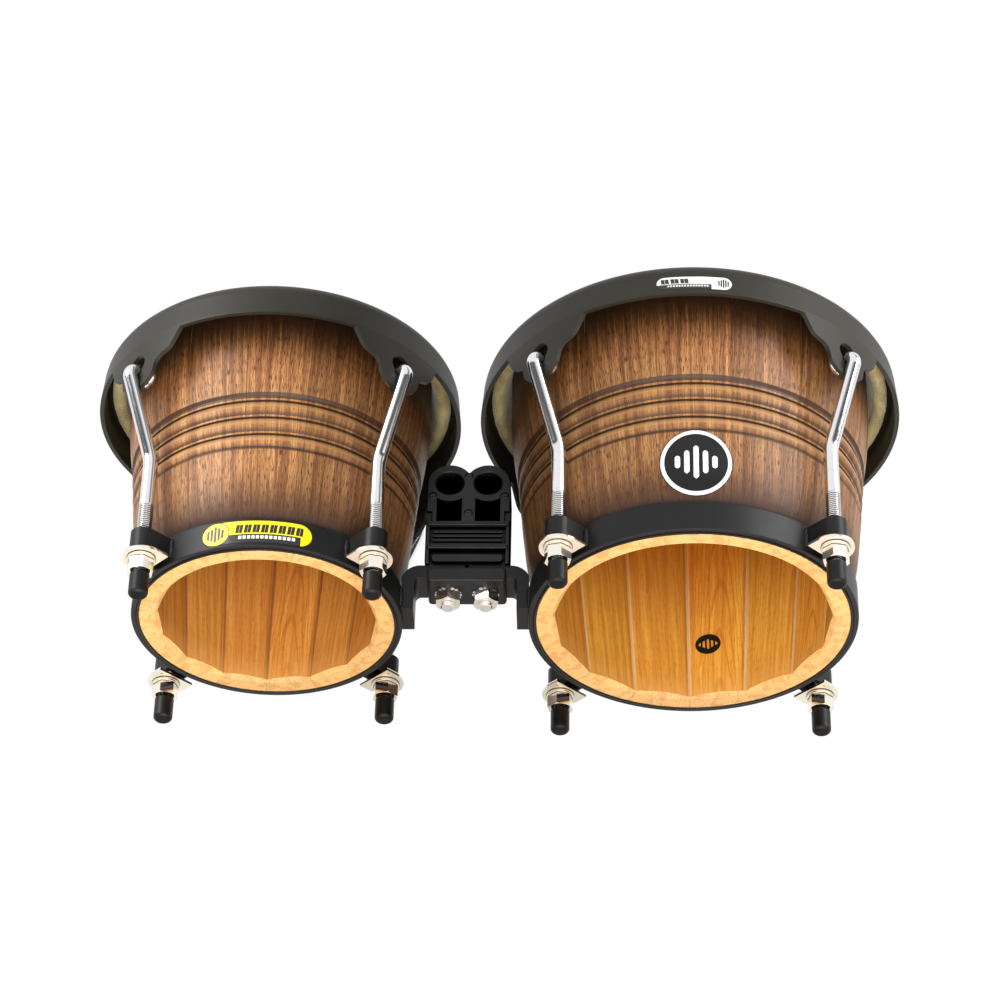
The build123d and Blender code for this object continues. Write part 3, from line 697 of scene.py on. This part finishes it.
# ---------------------------------------------------------------- skin
HEAD_FLAT = ((1.0, 166.0), (14, 166.0), (30, 166.0), (48, 166.0))
HEAD_UNDERSIDE = ((48, 165.2), (30, 165.2), (14, 165.2), (1.0, 165.2))
HEAD_OVER_EDGE = (
    (-20, 166.02), (-8, 166.04), (-3, 166.05), (-1.0, 166.0), (0.3, 165.6), (1.0, 164.6), (1.25, 163.0),
    (1.9, 159.0), (3.0, 155.5), (4.0, 153.2), (6.0, 151.8), (5.8, 151.0), (3.3, 152.6), (2.4, 155.2),
    (1.2, 158.8), (0.45, 162.9), (0.3, 164.2), (-0.3, 165.0), (-1.6, 165.15), (-8, 165.2),
)
TUCK_R = 3.85
HAIRS = 5200


def add_head(drum, hide):
    """Playing skin: flat top, rounded over the bearing edge, collar down into the rolled edge."""
    edge = drum.edge_r / MM
    outline = [*HEAD_FLAT, *((edge + out, height) for out, height in HEAD_OVER_EDGE), *HEAD_UNDERSIDE]
    rings = []
    for radius, height in outline:
        rings.append([drum.at(radius * MM, turn, drum.base_z + height * MM) for turn in turns(192)])
    points, faces = tube(rings)
    skin = add_mesh(drum.prefix + "_playing_skin", points, faces, hide)
    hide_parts(drum.prefix + "_head_skin")
    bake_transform(skin)


def hair(draw, drum):
    """Points and faces of one short hair that stands on the rolled edge."""
    angle = draw.uniform(0, 2 * math.pi)
    turn = draw.uniform(-2.4, 0.9)
    away, side = axes_at(angle)
    up = Vector((0, 0, 1))
    out = away * math.cos(turn) + up * math.sin(turn)
    wrap = up * math.cos(turn) - away * math.sin(turn)
    root = drum.at(drum.hoop_r, angle, drum.hoop_z) + out * (3.6 * MM)
    reach = out * draw.uniform(0.5, 0.95)
    sway = side * draw.uniform(-0.9, 0.9)
    curl = wrap * draw.uniform(-0.9, 0.9)
    tip = root + (reach + sway + curl) * MM
    width = draw.uniform(0.08, 0.15) * MM
    base = [root + side * width, root + wrap * width, root - (side + wrap) * width * 0.7, tip]
    return base, [(0, 2, 1), (0, 1, 3), (1, 2, 3), (2, 0, 3)]


def add_tuck(drum, hide):
    """Hairy roll of skin lapped round the flesh hoop."""
    rings = []
    for turn in turns(28):
        ring = []
        for angle in turns(360):
            away, _ = axes_at(angle)
            out = away * math.cos(turn) + Vector((0, 0, math.sin(turn)))
            core = drum.at(drum.hoop_r, angle, drum.hoop_z)
            lump = noise.fractal((core + out * 0.004) * 210, 1.0, 2.0, 4)
            radius = TUCK_R + 0.28 * max(-1.0, min(1.0, lump))
            ring.append(core + out * (radius * MM))
        rings.append(ring)
    draw = np.random.RandomState(7 if drum is SMALL else 8)
    parts = [tube(rings, closed=True)] + [hair(draw, drum) for _ in range(HAIRS)]
    roll = joined(drum.prefix + "_hairy_tuck", parts, hide)
    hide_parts(drum.prefix + "_skin_tuck")
    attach(roll, drum.body)


# ---------------------------------------------------------------- welds
WELD_SIDES = 14
STRAP_HALF_WIDTH = 7.6 * MM
BRACKET_HALF_WIDTH = 11.0 * MM


def weld_bead(drum, angle, low_mm, high_mm, radius, seed):
    """Lumpy upright bead of weld on the band's outer face."""
    low = drum.base_z + low_mm * MM
    high = drum.base_z + high_mm * MM
    rings = []
    rows = int((high - low) / (0.35 * MM))
    for k in range(rows + 1):
        core = drum.at(drum.band_r + 0.1 * MM, angle, low + (high - low) * k / rows)
        ends = math.sin(math.pi * min(1.0, max(0.0, (k + 0.6) / (rows + 1.2)))) ** 0.35
        ripple = 0.10 * math.sin(2 * math.pi * k / 4.6 + seed)
        ring = []
        for turn in turns(WELD_SIDES):
            lump = noise.noise(core * 700 + Vector((math.cos(turn), math.sin(turn), seed)) * 0.8)
            size = radius * MM * ends * (1 + ripple + 0.30 * lump)
            out = Vector((math.cos(angle + turn), math.sin(angle + turn), 0))
            ring.append(core + out * size)
        rings.append(ring)
    return tube(rings)


def add_welds(drum):
    """Weld beads beside the four lug straps and the centre bracket of one drum."""
    parts = []
    strap_half = math.asin(STRAP_HALF_WIDTH / drum.band_r)
    bracket_half = math.asin(BRACKET_HALF_WIDTH / drum.band_r)
    for degrees in sorted(LUGS.values()):
        for way in (-1, 1):
            place = math.radians(degrees) + way * strap_half
            parts.append(weld_bead(drum, place, 3.6, 15.4, 1.6, degrees + way))
    inward = 0.0 if drum is SMALL else math.pi
    for way in (-1, 1):
        parts.append(weld_bead(drum, inward + way * bracket_half, 4.2, 16.6, 1.5, 3.0 + way))
    beads = joined(drum.prefix + "_weld_beads", parts, BLACK_STEEL)
    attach(beads, "frame")


# ---------------------------------------------------------------- badge and labels
BADGE_LIFT = 0.22 * MM
BAR_WIDTH = 2.9 * MM
BAR_PITCH = 5.0 * MM
BAR_HEIGHTS = (7.5, 14.0, 20.0, 14.0, 7.5)
BAR_ROWS = 16


def front_y(node, x, z):
    """How far forward a CAD node's front face reaches at a place."""
    _, where, _, _ = NODES[node].ray_cast(Vector((x, -1.0, z)), Vector((0, 1, 0)))
    return where.y


def draped_bar(node, x, z, height):
    """Small upright bar with round ends that follows a node's front face."""
    rings = []
    for k in range(BAR_ROWS + 1):
        v = -1 + 2 * k / BAR_ROWS
        end = max(0.0, abs(v) * height / 2 - (height / 2 - BAR_WIDTH / 2))
        half = math.sqrt(max((BAR_WIDTH / 2) ** 2 - end ** 2, (0.12 * MM) ** 2))
        spot_z = z + v * height / 2
        ring = []
        for u in (-1, -0.8, 0, 0.8, 1):
            lift = BADGE_LIFT if abs(u) < 0.9 else BADGE_LIFT * 0.6
            ring.append(Vector((x + u * half, front_y(node, x + u * half, spot_z) - lift, spot_z)))
        for u in (1, 0, -1):
            ring.append(Vector((x + u * half, front_y(node, x + u * half, spot_z) + 0.1 * MM, spot_z)))
        rings.append(ring)
    return tube(rings)


def draped_ring(node, x, z, outer, inner):
    """Flat ring that follows a node's front face."""
    outline = [(-0.1, outer), (0.7, outer), (1.0, outer - 0.3 * MM), (1.0, (outer + inner) / 2)]
    outline += [(1.0, inner + 0.3 * MM), (0.7, inner), (-0.1, inner)]
    rings = []
    for lift, radius in outline:
        ring = []
        for turn in turns(96):
            across = radius * math.cos(turn)
            up = radius * math.sin(turn)
            face_y = front_y(node, x + across * 0.985, z + up * 0.985)
            ring.append(Vector((x + across, face_y - lift * BADGE_LIFT, z + up)))
        rings.append(ring)
    return tube(rings, closed=True)


def add_badge():
    """Silver edge ring and a plain row of sound bars on the black badge."""
    low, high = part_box("shell_badge")
    x = (low.x + high.x) / 2
    z = (low.z + high.z) / 2
    radius = (high.x - low.x) / 2
    parts = [draped_ring("shell_badge", x, z, radius * 0.985, radius * 0.875)]
    for k, height in enumerate(BAR_HEIGHTS):
        parts.append(draped_bar("shell_badge", x + (k - 2) * BAR_PITCH, z, height * MM))
    motif = joined("badge_motif", parts, plated("badge_silver", srgb(232, 231, 229), 0.34, 0.35))
    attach(motif, "frame")


def bar_emblem(g, across, up):
    """Upright sound bars, the middle ones tallest, in label heights."""
    from_bar = abs(g.wrapped(across + 0.07, 0.14) - 0.07)
    bars = g.fall(from_bar, 0.044, 0.052) * g.step(0.38 - abs(across) * 0.6 - abs(up), 0.0, 0.02)
    return bars * g.fall(abs(across), 0.33, 0.34)


def blocky_word(g, u, v, first, last, letters):
    """Slanted blocks in place of letters, from first to last along the label."""
    pitch = (last - first) / letters
    block = g.wrapped(u - first - v * 0.12, pitch)
    blocks = g.step(block, pitch * 0.16, pitch * 0.22)
    blocks = blocks * g.step(abs(block - pitch * 0.60), 0.0, pitch * 0.03)
    blocks = blocks * g.window(u, first, first + 0.03, last, last + 0.03)
    return blocks * g.fall(abs(v - 0.14), 0.18, 0.20)


def tick_strip(g, u, v, total):
    """Row of small ticks under the blocks."""
    ticks = g.step(g.wrapped(u, 0.17), 0.04, 0.06)
    ticks = ticks * g.window(u, 1.35, 1.40, total - 0.62, total - 0.58)
    return ticks * g.fall(abs(v + 0.25), 0.065, 0.085)


def printed_area(g, u, v, far, total, emblem_at_left):
    """Where the label has its ground colour; elsewhere it is the strip that carries the ticks."""
    upper = g.step(v, -0.12, -0.09)
    if emblem_at_left:
        tail = g.step(u, total - 0.42, total - 0.39)
        printed = g.math("MAXIMUM", upper, tail) * g.step(far, 0.54, 0.57)
        return g.math("MAXIMUM", printed, g.fall(far, 0.50, 0.53))
    return g.math("MAXIMUM", upper, g.fall(u, 1.22, 1.25))


def label_paint(name, node, ground, strip, emblem_at_left, word):
    """Printed label: round emblem of sound bars, a blocky word and a strip of small ticks below it."""
    low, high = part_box(node)
    g = Graph(name)
    x, y, z = g.place()
    height = (high.z - low.z) / MM
    total = (high.x - low.x) / MM / height
    way = 1.0 if emblem_at_left else -1.0
    u = (x - (low.x + high.x) / 2 / MM) * (way / height) + total / 2
    v = (z - (low.z + high.z) / 2 / MM) / height
    middle = u - 0.5
    far = g.math("SQRT", middle * middle + v * v)
    first, last, letters = word
    blocks = blocky_word(g, u, v, first * total, last * total, letters)
    ink = g.math("MAXIMUM", bar_emblem(g, middle, v), blocks)
    fleck = g.noise(g.vector(x, y, z), 2.2, 3.0, 0.6)
    paper = g.mix(ink, g.shade(ground, 0.95 + 0.08 * fleck), strip)
    below = g.mix(tick_strip(g, u, v, total), strip, srgb(226, 226, 222))
    tone = g.mix(printed_area(g, u, v, far, total, emblem_at_left), below, paper)
    return g.set(
        base_color=tone, roughness=0.32 + fleck * 0.1, normal=g.bump(fleck, 0.08, 0.03), coat_weight=0.2,
    )


# ---------------------------------------------------------------- stage, light and camera
FLOOR_HALF = 4
FLOOR_GLOW = 0.45
CAMERA_PLACE = (0.0571, -1.5114, -0.9764)
CAMERA_YAW = -2.096
CAMERA_PITCH = 35.643
CAMERA_ROLL = 1.288
CAMERA_LENS = 118.65
FLAG_OUTLINE = ((-0.45, -0.08), (-0.09, -0.08), (-0.09, 0.03), (-0.03, 0.03), (-0.03, 0.45), (-0.45, 0.45))


def pale_floor():
    """Pale floor under the caps; from below it lets the light and the camera through."""
    corners = [(-1, -1), (1, -1), (1, 1), (-1, 1)]
    points = [(x * FLOOR_HALF, y * FLOOR_HALF, 0) for x, y in corners]
    g = Graph("floor_paper")
    fleck = g.noise(g.spot(), 1 / 3.0, 3.0, 0.6)
    tone = g.mix(fleck, srgb(240, 240, 240), srgb(247, 247, 247))
    path = g.node("ShaderNodeLightPath")
    seen = g.wire(path.outputs["Is Glossy Ray"]) + g.wire(path.outputs["Is Camera Ray"])
    g.set(
        base_color=tone, roughness=0.9,
        emission_color=srgb(255, 250, 240), emission_strength=seen * FLOOR_GLOW,
    )
    back = g.wire(g.node("ShaderNodeNewGeometry").outputs["Backfacing"])
    clear = g.node("ShaderNodeBsdfTransparent")
    blend = g.node("ShaderNodeMixShader", {0: back})
    g.tree.links.new(g.shader.outputs[0], blend.inputs[1])
    g.tree.links.new(clear.outputs[0], blend.inputs[2])
    g.tree.links.new(blend.outputs[0], g.tree.nodes["Material Output"].inputs[0])
    floor = add_mesh("floor", points, [(0, 1, 2, 3)], g.material, smooth=False)
    floor.visible_shadow = False


def studio_world():
    """White studio: white to the camera, dim fill for matt surfaces, dark cards for the bright metal."""
    world = bpy.data.worlds.new("studio")
    bpy.context.scene.world = world
    world.use_nodes = True
    world.node_tree.nodes.clear()
    g = Graph("studio", world.node_tree)
    direction = g.wire(g.node("ShaderNodeTexCoord").outputs["Generated"])
    x, y, z = [g.wire(out) for out in g.node("ShaderNodeSeparateXYZ", {0: direction}).outputs]
    side = x / g.math("SQRT", x * x + y * y)
    front = g.step(y * -1.0, -0.1, 0.3)
    horizon = g.fall(abs(z + 0.02), 0.10, 0.28) * front
    stripe = g.fall(abs(side - 0.74), 0.08, 0.24) * front
    shiny = 1.0 - g.math("MAXIMUM", horizon * 0.9, stripe * 0.72)
    path = g.node("ShaderNodeLightPath")
    camera = g.wire(path.outputs["Is Camera Ray"])
    glossy = g.wire(path.outputs["Is Glossy Ray"])
    fill = 0.30 + 0.10 * z
    level = glossy * shiny + (1.0 - glossy) * fill
    level = camera + (1.0 - camera) * level
    shine = g.node("ShaderNodeBackground", {0: g.grey(level)})
    out = g.node("ShaderNodeOutputWorld")
    g.tree.links.new(shine.outputs[0], out.inputs[0])


def centre_flag():
    """Black card between the drums that keeps the studio's fill off their inner sides."""
    x = (SMALL.x + SMALL.edge_r + LARGE.x - LARGE.edge_r) / 2
    points = [(x, y, z) for y, z in FLAG_OUTLINE]
    g = Graph("flag_cloth")
    nap = g.noise(g.spot(), 1 / 2.0, 3.0, 0.6)
    g.set(base_color=g.mix(nap, srgb(8, 8, 8), srgb(14, 14, 14)), roughness=0.95)
    flag = add_mesh("flag", points, [tuple(range(len(points)))], g.material, smooth=False)
    flag.visible_camera = False
    flag.visible_glossy = False


def soft_box(name, place, aim, width, height, power):
    """Rectangular soft light aimed at a point."""
    data = bpy.data.lights.new(name, "AREA")
    data.shape = "RECTANGLE"
    data.size = width
    data.size_y = height
    data.energy = power
    light = bpy.data.objects.new(name, data)
    light.location = place
    light.rotation_euler = (Vector(aim) - Vector(place)).to_track_quat("-Z", "Y").to_euler()
    bpy.context.scene.collection.objects.link(light)
    return light


def collected(name, objects):
    """New collection that holds these objects."""
    made = bpy.data.collections.new(name)
    for item in objects:
        made.objects.link(item)
    return made


def keep_off(light, drum, trim):
    """Keep a side light off the far drum and its trim, and let it pass through the black card."""
    meshes = [item for item in bpy.context.scene.objects if item.type == "MESH"]
    lit = [m for m in meshes if not m.name.startswith(drum.prefix + "_") and m.name not in trim]
    solid = [m for m in meshes if m.name != "flag"]
    light.light_linking.receiver_collection = collected(light.name + "_lit", lit)
    light.light_linking.blocker_collection = collected(light.name + "_shadows", solid)


def only_on(light, pieces):
    """Let a light reach these pieces and nothing else."""
    lit = [bpy.data.objects[piece] for piece in pieces]
    light.light_linking.receiver_collection = collected(light.name + "_lit", lit)


def add_lights():
    """A soft light on each drum's outer side, one below, and one above for the two skins."""
    left = soft_box("left", (-1.5, -1.3, 0.9), (0, 0, 0.1), 1.1, 1.3, 31)
    right = soft_box("right", (1.7, -1.1, 0.8), (0, 0, 0.1), 1.1, 1.3, 31)
    soft_box("under", (0.1, -1.0, -1.25), (0, 0, 0.08), 1.3, 1.0, 46)
    over = soft_box("over", (0.0, 0.2, 1.5), (0, 0, 0.19), 1.2, 1.0, 16)
    keep_off(left, LARGE, ("shell_badge", "badge_motif", "rim_label"))
    keep_off(right, SMALL, ("ring_label",))
    only_on(over, ("small_playing_skin", "large_playing_skin"))


def low_camera():
    """Camera below and in front of the drums, looking up into their open ends."""
    yaw = math.radians(CAMERA_YAW)
    pitch = math.radians(CAMERA_PITCH)
    roll = math.radians(CAMERA_ROLL)
    ahead = Vector((math.sin(yaw) * math.cos(pitch), math.cos(yaw) * math.cos(pitch), math.sin(pitch)))
    level = Vector((math.cos(yaw), -math.sin(yaw), 0.0))
    upright = level.cross(ahead)
    right = math.cos(roll) * level + math.sin(roll) * upright
    above = -math.sin(roll) * level + math.cos(roll) * upright
    data = bpy.data.cameras.new("camera")
    data.sensor_width = 36.0
    data.lens = CAMERA_LENS
    data.clip_start = 0.1
    data.clip_end = 30.0
    camera = bpy.data.objects.new("camera", data)
    axes = Matrix((right, above, -ahead)).transposed()
    camera.matrix_world = Matrix.Translation(CAMERA_PLACE) @ axes.to_4x4()
    bpy.context.scene.collection.objects.link(camera)
    bpy.context.scene.camera = camera


# ---------------------------------------------------------------- finishes for the CAD nodes
BLACK_STEEL = powder_black("black_steel", srgb(16, 16, 16), 0.40, 0.45)
CLAMP_STEEL = powder_black("clamp_steel", srgb(16, 16, 16), 0.42, 0.5)
RIM_STEEL = powder_black("rim_steel", srgb(32, 29, 20), 0.46, 0.55, 0.4)
SCREW_BLACK = powder_black("screw_black", srgb(30, 29, 28), 0.34, 0.4)
BADGE_BLACK = powder_black("badge_black", srgb(20, 20, 21), 0.30, 0.6)
BLACK_RUBBER = soft_rubber("black_rubber", srgb(16, 15, 15), 0.34)
CAP_RUBBER = soft_rubber("cap_rubber", srgb(9, 9, 9), 0.42)
BLACK_PLASTIC = moulded_plastic("black_plastic", srgb(8, 8, 7))
CHROME = plated("rod_chrome", srgb(236, 236, 238), 0.10, crevice_shade=(1.0, 0.62, 0.98))
BOLT_NICKEL = plated("bolt_nickel", srgb(246, 245, 241), 0.14, 1.0, 0.012, crevice_shade=(0.7, 0.30, 0.75))
NICKEL = plated("nut_nickel", srgb(248, 242, 230), 0.12, 1.0, 0.012, crevice_shade=(1.6, 0.35, 0.80))
YELLOW_INK = (srgb(252, 228, 10), srgb(20, 20, 20))
WHITE_INK = (srgb(246, 246, 244), srgb(34, 33, 30))

DRUM_FINISHES = {
    "ring_band": BLACK_STEEL,
    "ring_liner": BLACK_RUBBER,
    "lug_straps": BLACK_STEEL,
    "saddle_plates": NICKEL,
    "washers": NICKEL,
    "drum_bracket": BLACK_STEEL,
    "rim": RIM_STEEL,
    "rod_caps": CAP_RUBBER,
    "flesh_hoop": NICKEL,
}
CENTRE_FINISHES = {
    "clamp_bar": CLAMP_STEEL,
    "block_core": BLACK_PLASTIC,
    "block_front_cover": BLACK_PLASTIC,
    "block_back_cover": BLACK_PLASTIC,
    "cover_screws": SCREW_BLACK,
    "block_bolts": BOLT_NICKEL,
    "toothed_washers": BOLT_NICKEL,
    "block_nuts": BOLT_NICKEL,
    "shell_badge": BADGE_BLACK,
    "ring_label": label_paint("yellow_label", "ring_label", *YELLOW_INK, True, (0.29, 0.92, 8)),
    "rim_label": label_paint("white_label", "rim_label", *WHITE_INK, False, (0.55, 0.94, 3)),
}
EDGE_WIDTHS = {"block_front_cover": 0.22, "block_back_cover": 0.22, "block_nuts": 0.2, "block_bolts": 0.2}


def finish_drum(drum, palette):
    """Finishes of one drum's CAD nodes, and the pieces that take the place of the others."""
    finish_node(drum.prefix + "_shell_staves", shell_wood(drum, palette))
    for node, material in DRUM_FINISHES.items():
        finish_node(drum.prefix + "_" + node, material)
    for place in LUGS:
        finish_node(drum.prefix + "_nut_" + place, NICKEL)
    hide = raw_hide(drum)
    add_rods(drum)
    add_head(drum, hide)
    add_tuck(drum, hide)
    add_welds(drum)


def finish_centre():
    """Finishes of the nodes between the drums and of the badge and labels."""
    for node, width in EDGE_WIDTHS.items():
        bevelled(node, width)
    for node, material in CENTRE_FINISHES.items():
        finish_node(node, material)
    add_badge()


finish_drum(SMALL, SMALL_INSIDE)
finish_drum(LARGE, LARGE_INSIDE)
finish_centre()
pale_floor()
studio_world()
centre_flag()
add_lights()
low_camera()
bpy.context.scene.view_settings.view_transform = "Standard"
